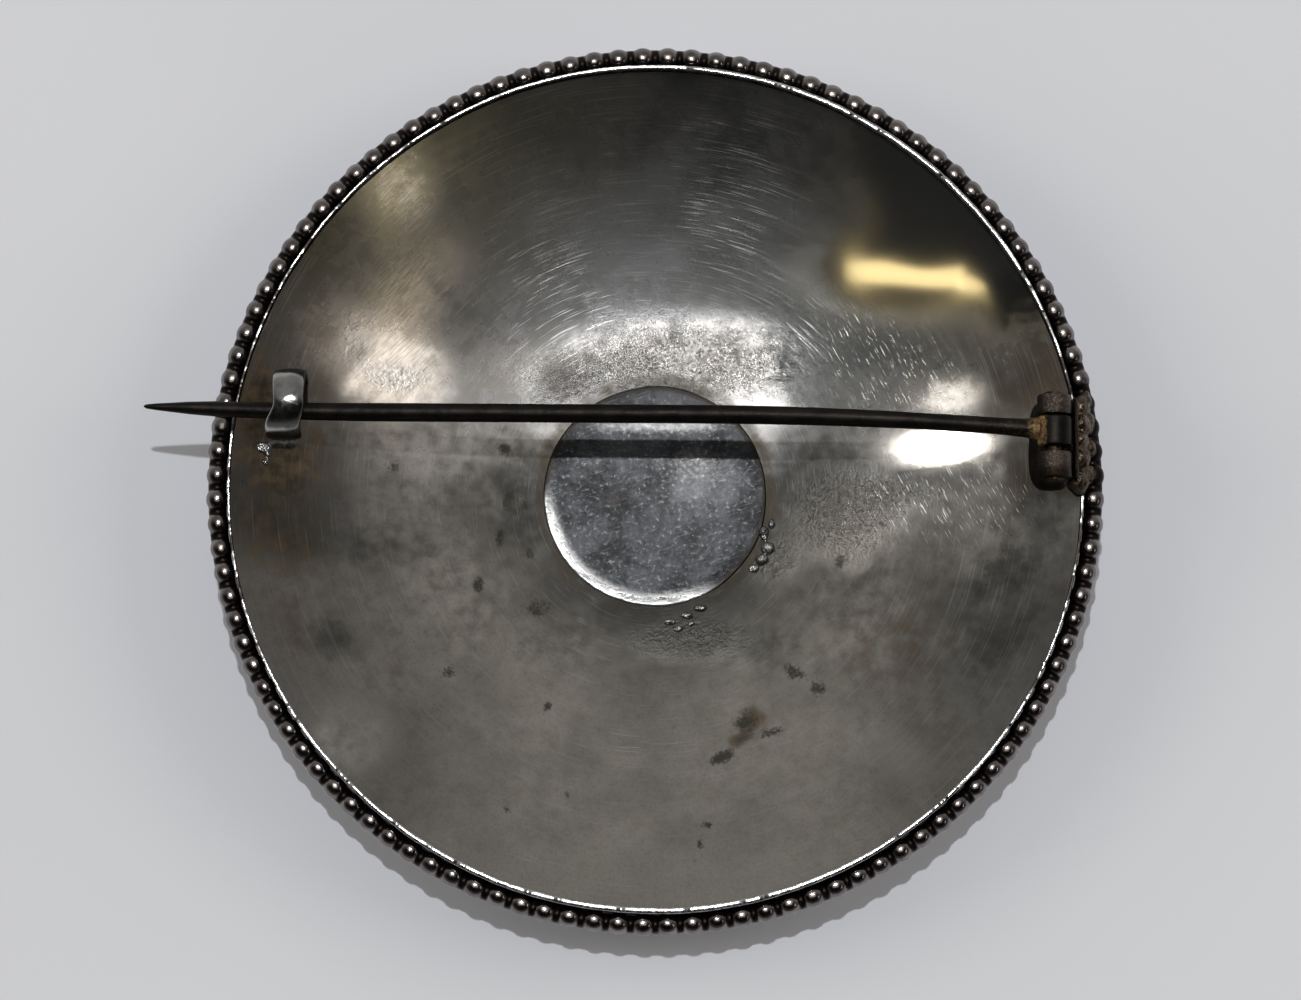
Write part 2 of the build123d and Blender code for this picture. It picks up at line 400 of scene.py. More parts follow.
def dish_silver():
    """Silver under uneven tarnish: its satin film, stains, polished, granular and scratched places are each
    where their field says, with edges broken up by noise. Its shade field is painted shade, its bright field
    painted highlights, and its dark field dark stains together with a few painted shadows."""
    make = Shader("turned_silver")
    cloud = make.noise(3.2, 3, 0.5)
    mottle = make.noise(0.7, 4, 0.55)
    speckle = make.noise(0.14, 3, 0.6)
    grain = make.noise(0.09, 2, 0.5)
    crumple = make.noise(0.34, 2, 0.5, distortion=0.6)
    arcs = make.turned_lines(0.07, 5.0, 3.0)
    fine_arcs = make.turned_lines(0.028, 9.0, 2.0)
    slants = make.strokes(-62.0, 0.05, 0.9)
    brushed = make.strokes(46.0, 0.08, 0.8)

    def broken(name, spread, low=0.0, high=1.0, coarse=cloud, fine=mottle):
        """A field's patches, with their edges broken up by noise that a spread makes stronger."""
        field = make.field(name)
        loose = make.times(make.minus(make.plus(coarse, fine), 1), make.rise(field, 0, 0.35, 0, spread))
        return make.rise(make.plus(field, loose), low, high)

    satin = broken("satin", 0.7)
    dark = broken("dark", 0.7)
    brown = broken("brown", 1.2)
    scratched = broken("scratched", 0.5)
    slanted = broken("slanted", 0.5)
    specks = broken("specks", 1, 0.3, 0.75, mottle, speckle)
    polish = make.rise(make.field("polish"), 0, 0.7)
    granular = make.rise(make.field("granular"), 0, 1.1)
    gaps = make.times(make.rise(make.field("pale"), 0, 0.25), make.rise(brushed, 0.56, 0.38, 0, 0.4))
    bright = make.times(broken("bright", 1.1), make.minus(1, gaps))
    pale = make.times(broken("pale", 0.4), make.rise(brushed, 0.36, 0.62, 0.25, 1))
    streaks = make.times(pale, make.rise(brushed, 0.58, 0.40, 0, 0.45))
    shade = make.times(make.field("shade"), make.rise(mottle, 0.2, 0.8, 0.95, 1))
    grains = make.times(granular, make.rise(speckle, 0.36, 0.52, 0.85, 0))
    stain = make.mix(make.rise(mottle, 0.30, 0.70), (0.036, 0.029, 0.020, 1), (0.125, 0.092, 0.058, 1))
    lines = make.times(make.rise(arcs, 0.56, 0.68), make.rise(scratched, 0, 1, 0.05, 0.3))
    cuts = make.times(make.rise(slants, 0.62, 0.72), make.rise(slanted, 0, 1, 0.03, 1))

    colour = make.layers(
        make.mix(satin, tint(0.30, 1, 1, 1.02), tint(0.30, 1.06, 0.99, 0.89)),
        (make.rise(cloud, 0.30, 0.75, 0, 0.4), tint(0.17, 1.02, 1, 0.94)),
        (make.rise(mottle, 0.40, 0.85, 0, 0.3), tint(0.14, 1.04, 1, 0.90)),
        # painted shade
        (shade, tint(0.035, 0.95, 1.02, 1.02)),
        (make.rise(speckle, 0.46, 0.66, 0, 0.2), tint(0.09, 1.02, 1, 0.95)),
        (pale, tint(0.28, 1.10, 1, 0.78)),
        (make.times(polish, 0.9), tint(0.42, 1, 1, 0.95)),
        # painted highlights
        (bright, tint(0.85, 1.01, 1, 0.99)),
        (streaks, tint(0.13, 1.1, 1, 0.75)),
        (grains, tint(0.07, 1, 1, 0.95)),
        (make.times(brown, 0.9), stain),
        # dark stains and a few painted shadows
        (make.times(dark, 0.85), (0.055, 0.055, 0.050, 1)),
        (make.times(specks, 0.9), (0.05, 0.048, 0.04, 1)),
        (make.math("MAXIMUM", lines, cuts), tint(0.95)),
    )
    uneven = make.plus(make.rise(mottle, 0.3, 0.7, -0.02, 0.02), make.rise(cloud, 0.3, 0.7, -0.03, 0.03))
    roughness = make.layers(
        make.plus(make.mix(satin, tint(0.27), tint(0.56)), uneven),
        (granular, tint(0.21)),
        (bright, tint(0.30)),
        (polish, tint(0.052)),
        (make.times(brown, 0.7), tint(0.5)),
    )
    reliefs = (
        (fine_arcs, 0.0012),
        (make.times(arcs, make.rise(scratched, 0, 1, 0.12, 1)), 0.0025),
        (make.times(slants, make.rise(slanted, 0, 1, 0.05, 1)), 0.006),
        (make.times(crumple, granular), 0.07),
        (make.times(speckle, make.rise(granular, 0, 1, 0.03, 1)), 0.045),
        (make.times(grain, make.rise(granular, 0, 1, 0.02, 1)), 0.02),
    )
    unpolished = make.minus(1.0, polish)
    normal = None
    for height, depth in reliefs:
        normal = make.bump(make.times(height, unpolished), depth, normal)
    tangent = make.node("ShaderNodeTangent", direction_type="RADIAL", axis="Z").outputs[0]
    return make.finish(
        Base_Color=colour, Metallic=0.96, Roughness=roughness, Normal=normal,
        Anisotropic=0.3, Tangent=tangent,
    )


def worn_silver(name, colour, grime_and_shade, depth, roughness, scale=0.25, uneven=0.1):
    """Silver with dirt, and on some pieces painted shade, where the piece's recess field says, bright wear
    where its worn field says, and fine uneven tarnish everywhere. Depth is that of its bumps."""
    make = Shader(name)
    cloud = make.noise(scale * 4, 5, 0.6)
    speckle = make.noise(scale, 5, 0.65)
    dull = tuple(0.6 * part for part in colour[:3]) + (1.0,)
    loose = make.times(make.minus(speckle, 0.5), 0.5)
    dirt_and_shade = make.patch("recess", loose, 0.3, 0.75)
    worn = make.patch("worn", loose, 0.3, 0.75)
    shade = make.layers(
        make.mix(make.rise(cloud, 0.38, 0.66), dull, colour),
        (make.rise(speckle, 0.5, 0.75, 0, 0.6), dull),
        (dirt_and_shade, grime_and_shade),
        (worn, tint(0.88)),
    )
    rough = make.rise(speckle, 0.3, 0.7, roughness - uneven, roughness + uneven)
    rough = make.mix(worn, make.plus(rough, make.times(dirt_and_shade, 0.25)), tint(0.24))
    return make.finish(Base_Color=shade, Metallic=1.0, Roughness=rough, Normal=make.bump(speckle, depth))


def pitted_silver():
    """Dark mottled silver of the centre plate, with bright speckle, dirt and painted shade where its recess
    field says, and painted highlights, polished smooth, where its worn field says."""
    make = Shader("plate_silver")
    cloud = make.noise(1.6, 4, 0.6)
    speckle = make.noise(0.22, 5, 0.65)
    fine = make.noise(0.08, 2, 0.5)
    clouded = make.times(make.minus(cloud, 0.5), make.rise(make.field("pale"), 0, 0.4))
    loose = make.times(make.minus(speckle, 0.5), 0.5)
    worn = make.patch("worn", loose, 0.1, 1)
    scratches = make.rise(make.strokes(18, 0.05, 1.5), 0.64, 0.72)
    colour = make.layers(
        make.mix(make.rise(cloud, 0.36, 0.64), tint(0.065, 0.96, 1, 1.06), tint(0.145, 0.96, 1, 1.06)),
        (make.times(make.patch("pale", clouded, 0, 1), 0.75), tint(0.36, 0.97, 1, 1.04)),
        (make.rise(speckle, 0.54, 0.76, 0, 0.35), tint(0.70, 0.98, 1, 1.03)),
        (make.times(scratches, 0.4), tint(0.5, 0.98, 1, 1.03)),
        (make.patch("recess", loose, 0.2, 0.9), (0.07, 0.06, 0.05, 1)),
        (worn, tint(0.88)),
    )
    rough = make.mix(worn, make.rise(speckle, 0.3, 0.7, 0.56, 0.40), tint(0.22))
    normal = make.bump(fine, 0.006, make.bump(speckle, 0.035))
    return make.finish(Base_Color=colour, Metallic=1.0, Roughness=rough, Normal=normal)


def dark_steel():
    """Steel wire gone nearly black, with brown rust where its rust field says."""
    make = Shader("rusty_steel")
    cloud = make.noise(1.2, 5, 0.6)
    speckle = make.noise(0.14, 5, 0.7)
    drawn = make.noise_over(make.vector("MULTIPLY", make.object_space, (300, 5000, 5000))[0], 4.0)
    rust = make.patch("rust", make.times(make.minus(speckle, 0.5), 0.9), 0.35, 0.8)
    rusty = make.mix(make.rise(speckle, 0.32, 0.68), (0.07, 0.040, 0.018, 1), (0.40, 0.26, 0.10, 1))
    colour = make.layers(
        make.mix(make.rise(cloud, 0.4, 0.65), (0.011, 0.010, 0.009, 1), (0.022, 0.018, 0.016, 1)),
        (make.rise(drawn, 0.5, 0.72, 0, 0.5), (0.038, 0.033, 0.030, 1)),
        (rust, rusty),
    )
    metal = make.minus(0.9, make.times(rust, 0.5))
    rough = make.plus(make.rise(speckle, 0.3, 0.7, 0.42, 0.56), make.times(rust, 0.1))
    normal = make.bump(drawn, 0.008, make.bump(speckle, 0.012))
    return make.finish(Base_Color=colour, Metallic=metal, Roughness=rough, Normal=normal)


def blue_enamel():
    """Deep glossy enamel with faint clouds in the glass."""
    make = Shader("blue_enamel")
    cloud = make.noise(2.6, 5, 0.6)
    grains = make.noise(0.2, 3, 0.6)
    colour = make.mix(make.rise(cloud, 0.3, 0.7), (0.006, 0.022, 0.16, 1), (0.014, 0.055, 0.33, 1))
    colour = make.mix(make.rise(grains, 0.6, 0.75, 0, 0.3), colour, (0.03, 0.10, 0.45, 1))
    normal = make.bump(make.noise(3, 2, 0.4), 0.02)
    return make.finish(
        Base_Color=colour, Roughness=0.16, Normal=normal, Coat_Weight=1.0, Coat_Roughness=0.03,
    )


def pale_floor():
    """Matt pale paper with a faint unevenness."""
    make = Shader("pale_floor")
    cloud = make.noise(60, 3, 0.5)
    colour = make.mix(make.rise(cloud, 0.3, 0.7), (0.74, 0.745, 0.765, 1), (0.78, 0.785, 0.80, 1))
    return make.finish(Base_Color=colour, Roughness=0.75)


# Marks on the dish. Each is the pixel of the photograph at its middle, its half sizes in pixels, its
# turn in degrees and its strength
dish_marks = {
    # Among the dark marks, the one at (440, 430) is a painted shadow of the pin, those at (918, 471) and
    # (974, 461) are painted shadow lines under the pin, and the one at (1020, 456) is painted shadow in front
    # of the hinge
    "dark": [
        (500, 215, 40, 55, 20, 0.7), (600, 120, 120, 40, 8, 0.35), (318, 250, 34, 50, -35, 0.8),
        (440, 290, 30, 8, -45, 0.6), (520, 130, 40, 50, 20, 0.5), (300, 520, 50, 40, 0, 0.6),
        (375, 545, 60, 22, 0, 0.5), (329, 638, 26, 24, 0, 0.8), (1000, 600, 40, 85, -12, 0.75),
        (1045, 500, 30, 60, 5, 0.7), (1015, 345, 42, 75, -5, 0.75), (1020, 456, 22, 26, 0, 0.9),
        (737, 356, 5, 12, 0, 0.7), (440, 430, 80, 14, 0, 0.5), (700, 640, 60, 22, 0, 0.5),
        (560, 640, 60, 26, 20, 0.35), (770, 650, 60, 30, -20, 0.35), (455, 600, 55, 60, 0, 0.4),
        (855, 590, 55, 45, 0, 0.45), (918, 471, 40, 4, 3, 0.6), (974, 461, 30, 4, 18, 0.6),
    ],
    "specks": [
        (515, 504, 15, 12, -20, 0.95), (391, 467, 10, 9, 0, 0.6), (506, 450, 9, 9, 0, 0.7),
        (500, 537, 6, 13, 0, 0.6), (531, 554, 8, 9, 0, 0.6), (478, 585, 9, 10, 0, 0.65),
        (537, 608, 18, 12, 30, 0.55), (447, 673, 11, 8, 0, 0.65), (548, 706, 6, 6, 0, 0.8),
        (795, 672, 14, 11, -30, 0.75), (817, 688, 12, 10, -30, 0.75), (745, 722, 16, 16, 0, 0.6),
        (722, 757, 16, 7, 30, 0.9), (770, 733, 14, 6, 20, 0.8), (675, 730, 6, 6, 0, 0.5),
        (507, 810, 5, 6, 0, 0.6), (566, 794, 5, 4, 0, 0.5), (709, 825, 4, 5, 0, 0.8),
        (702, 846, 4, 5, 0, 0.8), (700, 838, 2, 30, -12, 0.7), (934, 796, 5, 5, 0, 0.5),
        (842, 561, 11, 11, 0, 0.6),
    ],
    "brown": [
        (262, 400, 30, 45, 0, 0.8), (288, 465, 48, 38, 0, 0.9), (285, 540, 45, 48, 0, 0.8),
        (285, 620, 30, 40, 20, 0.5), (325, 330, 22, 24, 0, 0.6), (330, 372, 20, 34, -20, 0.4),
        (358, 350, 14, 34, -40, 0.3), (752, 718, 13, 16, -20, 1.0), (742, 738, 16, 8, 35, 1.0),
        (1060, 410, 30, 60, 0, 0.9), (1040, 470, 45, 26, 0, 0.9), (890, 640, 70, 50, 20, 0.4),
        (900, 780, 90, 60, 30, 0.15), (380, 680, 60, 50, 0, 0.25), (1010, 400, 40, 24, 0, 0.5),
        (1035, 350, 45, 50, 0, 0.7), (255, 440, 40, 50, 0, 0.6),
    ],
    # Bright marks are painted highlights, most of them where the panels below also show in the dish
    "bright": [
        (680, 352, 110, 36, 0, 0.55), (748, 382, 46, 44, 30, 0.4), (775, 412, 34, 16, 0, 0.3),
        (938, 446, 54, 20, 3, 1.0), (950, 397, 42, 20, 5, 0.65), (385, 366, 66, 44, -25, 0.75),
        (640, 432, 90, 10, 0, 0.5), (392, 176, 46, 40, -40, 0.4), (345, 738, 60, 50, 40, 0.2),
        (905, 760, 50, 36, -40, 0.12),
    ],
    "polish": [
        (960, 190, 130, 90, -35, 0.7), (1030, 300, 45, 70, 10, 0.6), (910, 270, 110, 50, 0, 0.7),
        (940, 446, 54, 24, 3, 0.6),
    ],
    "pale": [
        (398, 188, 28, 46, 38, 0.45), (385, 226, 28, 40, 30, 0.3), (440, 258, 36, 34, 30, 0.3),
        (402, 300, 40, 40, 20, 0.5), (392, 352, 55, 40, -20, 0.35), (520, 372, 60, 34, 20, 0.3),
    ],
    "granular": [
        (905, 494, 60, 20, 4, 0.5), (690, 362, 130, 50, 0, 0.9), (560, 380, 40, 30, 30, 0.6),
        (845, 515, 62, 55, 0, 0.9), (352, 345, 32, 42, 0, 0.35), (400, 380, 40, 20, 0, 0.5),
        (690, 640, 80, 30, 0, 0.7), (775, 560, 26, 30, 0, 0.8),
    ],
    "scratched": [
        (560, 310, 60, 85, 30, 1.0), (728, 190, 60, 90, 0, 0.9), (800, 335, 60, 60, 0, 0.6),
        (640, 745, 80, 16, 0, 0.5),
    ],
    "slanted": [
        (940, 500, 90, 45, 0, 1.0), (900, 380, 80, 50, 0, 0.7), (850, 330, 60, 40, 0, 0.5),
    ],
}


def dish_field(x, y, marks):
    """How strongly marks cover points of the dish."""
    cover = np.zeros(np.shape(x))
    for mark_x, mark_y, half_width, half_height, turn, strength in marks:
        middle = on_dish(mark_x, mark_y)
        a = radians(turn)
        dx, dy = x - middle.x, y - middle.y
        across = (dx * cos(a) + dy * sin(a)) / (half_width * pixel_size)
        along = (-dx * sin(a) + dy * cos(a)) / (half_height * pixel_size)
        cover += (1 - cover) * strength * np.exp(-1.1 * (across**2 + along**2) ** 1.3)
    return cover


# Dish: the concave back of the domed sheet, finely turned and a little uneven
turn = full_turn(dish_around)
dish_middle, dish_edge = 0.15, lip_inner_radius + 0.05
back_radii = np.linspace(dish_middle, dish_edge, dish_steps)
back = polar(back_radii[:, None], turn, dish_height(back_radii)[:, None])
waves = 0.022 * noise_at(back, 6.0, 1) + 0.008 * noise_at(back, 2.2, 2)
back[..., 2] += waves * (1 - 0.95 * dish_field(back[..., 0], back[..., 1], dish_marks["polish"]))
front_ball_radius = dish_ball_radius + sheet_thickness
front_radii = np.linspace(dish_edge, dish_middle, 24)
front = polar(front_radii[:, None], turn, dish_height(front_radii, front_ball_radius)[:, None])
dish_points, dish_faces = solid(np.concatenate([back, front]))

# Fields of the dish: its marks, the satin film on the -Y half, painted shade over the +Y half and bands
# beside the plate, and a grimy ring round the plate
fields = {name: dish_field(dish_points[:, 0], dish_points[:, 1], marks) for name, marks in dish_marks.items()}
east, north = dish_points[:, 0] - disc_x, dish_points[:, 1]
aside = np.abs(east)
from_plate = np.hypot(east, north) - plate_radius
fields["satin"] = smooth_step(8.0, -5.0, north) * (1 - 0.4 * smooth_step(10, 20, aside))
shade = 0.88 * smooth_step(2.0, 9.0, north) + 0.75 * bell(from_plate, 0, 3.5) * smooth_step(3.5, 0.5, north)
shade += 0.25 * smooth_step(9, 16, east) * smooth_step(6, -2, north) * smooth_step(-16, -8, north)
shade += 0.7 * smooth_step(5, 7, east) * smooth_step(20, 16, east) * bell(north, 5, 5, 4)
west_band = 0.25 * smooth_step(-3, -8, east) + 0.5 * smooth_step(-13, -17, east)
shade += west_band * smooth_step(-6, 0, north) * smooth_step(9, 4, north)
shade += 0.3 * smooth_step(7, 15, aside) * smooth_step(4, -4, north)
shade = np.clip(shade - fields["bright"] - 0.3 * fields["pale"], 0, 0.88)
shade -= 0.07 * smooth_step(14, 20, north)
shade += 0.12 * smooth_step(-3, -6, north) * smooth_step(-19, -14, north)
shade += 0.09 * smooth_step(5, 7, east) * smooth_step(5.5, 7, north) * smooth_step(12, 9.5, north)
fields["shade"] = shade
# The -Y edge of the dish is painted lighter, as a painted highlight
fields["bright"] += 0.10 * smooth_step(-15, -20, north)
grime_ring = smooth_step(-0.6, 0.1, from_plate) * (1 - smooth_step(0.1, 0.9, from_plate))
grime_share = 0.2 + 0.5 * aside / (plate_radius + 1)
fields["brown"] = np.clip(fields["brown"] + grime_ring * grime_share, 0, 1)
fields["dark"] = np.clip(fields["dark"] + 0.5 * grime_ring, 0, 1)
dish = new_piece("dish", dish_points, dish_faces, dish_silver(), **fields)

# Lip: the thin raised edge, worn uneven on top
lip_turn = full_turn(lip_around)
circle = polar(lip_inner_radius, lip_turn, 0.0)


def near(angle, spread):
    """1 at an angle in radians round the lip, falling to 0 at a spread from it."""
    gap = np.abs((lip_turn - angle + pi) % (2 * pi) - pi)
    return 1 - smooth_step(0, spread, gap)


def near_places(*places):
    """The sum of places round the lip, each a share, an angle and a spread in degrees."""
    return sum(share * near(radians(angle), radians(spread)) for share, angle, spread in places)


lean = 0.02 * noise_at(circle, 5.0, 11) + 0.01 * noise_at(circle, 0.9, 12)
spare = dents(circle, 0.015, 3.0, 13) + dents(circle, 0.015, 0.5, 14)
thin = near_places((0.10, 188, 50), (0.08, 150, 50), (0.04, 110, 50), (0.11, -8, 60))
thick = near_places((0.09, 268, 75), (0.03, 60, 40))
worn = dents(circle, 0.035, 2.4, 15) + dents(circle, 0.012, 0.35, 16)
worn += near_places((0.05, 188, 60), (0.05, -5, 60)) * dents(circle, 1.0, 0.5, 18)
nick_count = 70
nick_random = np.random.default_rng(17)
for _ in range(nick_count):
    place = nick_random.uniform(0, 2 * pi)
    width = nick_random.uniform(0.003, 0.010)
    worn += nick_random.uniform(0.02, 0.10) * near(place, width)
lip_top = lip_top_height - worn
lip_middle = (lip_foot_height + lip_top) / 2
inner = lip_inner_radius + lean - thick + 0.5 * thin
outer = lip_outer_radius + lean - spare - 0.5 * thin
wall = outer - inner
# Each point of the lip's section is its radius, its height and how dark it is made: the walls are painted
# shade, darkest low down, and the top is left bright
lip_profile = [
    (inner, lip_foot_height, 0.9),
    (inner, lip_middle, 0.7),
    (inner, lip_top - 0.07, 0.2),
    (inner + 0.06 * wall, lip_top - 0.025, 0.0),
    (inner + 0.18 * wall, lip_top - 0.006, 0.0),
    (inner + 0.5 * wall, lip_top, 0.0),
    (inner + 0.85 * wall, lip_top - 0.010, 0.0),
    (inner + 0.95 * wall, lip_top - 0.035, 0.1),
    (outer, lip_top - 0.09, 0.7),
    (outer, lip_middle, 1.0),
    (outer, lip_foot_height, 1.0),
]
lip_rings = np.stack([polar(r, lip_turn, z) for r, z, _ in lip_profile], axis=1)
lip_dirt = near_places((1.3, 165, 75), (1.3, -5, 60)) * dents(circle, 1.0, 0.7, 19)
lip_dirt += dents(circle, 0.4, 0.4, 20)
lip_dirt_and_shade = np.array([recess for _, _, recess in lip_profile]) + lip_dirt[:, None]
lip_grime_and_shade = (0.06, 0.048, 0.044, 1)
bright_silver = worn_silver("bright_silver", tint(0.88, 1, 0.98, 0.97), lip_grime_and_shade, 0.012, 0.24)
new_piece("rim_lip", *solid(lip_rings, loop=True), bright_silver, recess=np.clip(lip_dirt_and_shade, 0, 1))

# Beaded border: balls drawn from one wire, worn flat on top, no two quite alike
bead_random = np.random.default_rng(21)
crowns = bead_radius * bead_random.uniform(0.955, 0.995, bead_count)
shifts = bead_random.uniform(-0.05, 0.05, bead_count)
flats = bead_random.uniform(0.84, 0.96, bead_count)
bead_turn = full_turn(bead_around)
outward, upward = np.cos(bead_turn), np.sin(bead_turn)
between = 0.48 - 0.18 * np.clip(upward + 0.2, 0, 1)
half_pitch = pi * bead_ring_radius / bead_count
bead_rings, bead_dirt_and_shade = [], []
for bead, step in product(range(bead_count), range(bead_steps)):
    u = 2 * step / bead_steps - 1
    angle = 2 * pi * (bead + 0.5 + (u + shifts[bead] * (1 - u * u)) / 2) / bead_count
    along = 0.9 * u * half_pitch
    radius = np.maximum(between, sqrt(max(crowns[bead] ** 2 - along**2, 0)))
    flat_height = crowns[bead] * flats[bead]
    height = radius * upward
    height = np.where(height > flat_height, flat_height + 0.6 * (height - flat_height), height)
    bead_rings.append(polar(bead_ring_radius + radius * outward, angle, bead_height + height))
    # The necks between beads are dark tarnish; the side facing the lip is painted shadow of the lip
    groove = smooth_step(0.5, 0.85, abs(u)) * (0.6 + 0.4 * upward)
    bead_dirt_and_shade.append(np.clip(groove + smooth_step(-0.4, -0.9, outward), 0, 1))
bead_points, bead_faces = solid(bead_rings, loop=True)
from_hinge = np.hypot(bead_points[:, 0] - disc_x - 22.0, bead_points[:, 1] - 2.6)
bead_dirt_and_shade = np.ravel(bead_dirt_and_shade) + 0.8 * (1 - smooth_step(2.0, 4.2, from_hinge))
bead_dirt_and_shade = np.clip(bead_dirt_and_shade, 0, 1)
bead_grime_and_shade = (0.022, 0.017, 0.015, 1)
bead_silver = worn_silver("bead_silver", tint(0.27, 1.08, 0.97, 0.94), bead_grime_and_shade, 0.006, 0.16, 0.18, 0.05)
beads = new_piece("beaded_border", bead_points, bead_faces, bead_silver, sharp=60.0, recess=bead_dirt_and_shade)

# Centre plate, soldered in the middle, with a soft rounded rim. Its lower left rim, a band across its +Y side
# and a patch at +X of its middle have painted highlights, and the rest of its rim painted shade
turn = full_turn(plate_around)
plate_edge = plate_radius - 0.03 + 0.03 * noise_at(polar(plate_radius, turn, 0.0), 2.0, 31)
plate_shares = np.concatenate([np.linspace(0.01, 0.86, 56), np.linspace(0.87, 0.99, 18)])
plate_profile = [(share, 0.085 * smooth_step(0.85, 1.04, share)) for share in plate_shares]
plate_profile += [(0.996, 0.10), (1.0, 0.14), (1.0, 0.2), (0.995, 0.3), (0.5, 0.35)]
plate_rings = np.array([
    polar(plate_edge * share, turn, plate_top_height - drop) for share, drop in plate_profile
])
plate_reach = np.hypot(plate_rings[..., 0] - disc_x, plate_rings[..., 1])
top_share = 1 - smooth_step(plate_radius * 0.96, plate_radius, plate_reach)
plate_rings[..., 2] -= top_share * (dents(plate_rings, 0.02, 1.6, 32) + dents(plate_rings, 0.008, 0.45, 33))
plate_points, plate_faces = solid(plate_rings)
plate_x, plate_y = plate_points[:, 0] - disc_x, plate_points[:, 1]
plate_reach = np.hypot(plate_x, plate_y)
# Painted highlights: the lower left of the rim, a band across the +Y side and a patch at +X of the middle are
# made bright
low_left = smooth_step(0.25, 0.8, (-0.5 * plate_x - 0.87 * plate_y) / np.maximum(plate_reach, 0.01))
plate_highlight = smooth_step(4.3, 5.55, plate_reach) ** 2 * (1 - smooth_step(5.68, 5.72, plate_reach)) * low_left
plate_highlight += 0.5 * bell(plate_x, 0.2, 3.7, 4) * bell(plate_y, 3.6, 0.42)
plate_highlight += 0.32 * bell(plate_x, 2.0, 2.3) * bell(plate_y, 1.7, 1.2)
plate_pale = 0.7 * bell(plate_x, 2.0, 2.3) * bell(plate_y, 0.6, 1.7)
plate_pale += 0.3 * bell(plate_x, -3.0, 1.6) * bell(plate_y, 1.6, 1.0)
# The rim away from the lower left is painted shade; the blotch at -X of the middle is dirt
plate_dirt_and_shade = 0.8 * smooth_step(5.2, 5.6, plate_reach) * (1 - low_left)
plate_dirt_and_shade += 0.55 * bell(plate_x, -1.9, 1.0) * bell(plate_y, -0.1, 0.7)
plate = new_piece(
    "centre_plate", plate_points, plate_faces, pitted_silver(),
    recess=plate_dirt_and_shade, worn=plate_highlight, pale=plate_pale,
)

# Catch: the strip rises behind the pin, bends over it and ends in a wider, hollowed tip
fixed_side, free_side = hook_side + hook_radius, hook_side - hook_radius
rise_foot = dish_height(np.hypot(catch_x - disc_x, fixed_side)) - 0.2
hook_turn = np.linspace(0, pi, 44)
tip_shares = np.array([0.3, 0.6, 0.85, 1.0])
strip_path = np.concatenate([
    [(catch_x, fixed_side, z) for z in np.linspace(rise_foot, hook_height, 16)[:-1]],
    [(catch_x, hook_side + hook_radius * cos(a), hook_height + hook_radius * sin(a)) for a in hook_turn],
    [(catch_x, free_side, hook_height - hook_tip_drop * share) for share in tip_shares],
])
bend = np.clip((hook_side - strip_path[:, 1]) / hook_radius, -1, 1)
forward = np.gradient(strip_path, axis=0)
forward /= np.linalg.norm(forward, axis=1)[:, None]
strip_out = np.cross(x_way, forward)
spoon = smooth_step(0.1, 0.8, bend)
half_width = 0.83 - 0.07 * bell(bend, 0, 0.45) + 0.07 * spoon
strip_path[:, 0] += 0.10 - 0.30 * spoon
strip_path[:, 2] -= 0.03
tip_round = np.ones(len(strip_path))
tip_round[-4:] = (0.97, 0.90, 0.72, 0.4)
half_thick = catch_thickness / 2 * np.where(tip_round < 1, 0.4 + 0.6 * tip_round, 1)
strip_rings = sweep(strip_path, x_way, strip_out, half_width * tip_round, half_thick, 2.5)
strip_turn = full_turn(bar_around)
sideways = np.cos(strip_turn)
top_side = np.clip(np.sin(strip_turn), 0, 1) ** 0.5
hollow = bell(bend[:, None], 0.48, 0.30) * bell(sideways, 0, 0.62, 4)
crease = 0.5 * bell(bend[:, None], -0.62, 0.35) * bell(sideways, 0, 0.5)
sink = top_side * (0.15 * hollow + 0.08 * crease) + 0.02
strip_rings -= strip_out[:, None] * sink[..., None]
# The top of the tip's hollow is painted darker, as painted shade
hollow_shade = np.concatenate([(0.75 * hollow * top_side).ravel(), [0, 0]])
catch_grime_and_shade = (0.06, 0.050, 0.048, 1)
catch_silver = worn_silver("catch_silver", tint(0.42, 1, 0.99, 0.96), catch_grime_and_shade, 0.012, 0.15, 0.3, 0.05)
new_piece("catch_hook", *solid(strip_rings, noise=(0.018, 0.6, 41)), catch_silver, recess=hollow_shade)

# Base of the catch, a thin strip that follows the dish
base_steps = 26
base_start = fixed_side + catch_thickness / 2
base_sides = np.linspace(base_start, base_start - catch_base_length, base_steps)
base_heights = dish_height(np.hypot(catch_x - disc_x, base_sides)) + catch_base_thickness / 2 - 0.08
base_path = np.stack([np.full(base_steps, catch_x), base_sides, base_heights], axis=-1)
base_ends = soft_ends(base_steps, 0.75)
base_rings = sweep(base_path, x_way, z_way, 0.88 * base_ends, catch_base_thickness / 2 * base_ends, 3.0, 32)
new_piece("catch_base", *solid(base_rings, noise=(0.03, 0.7, 42)), catch_silver, recess=0.9)


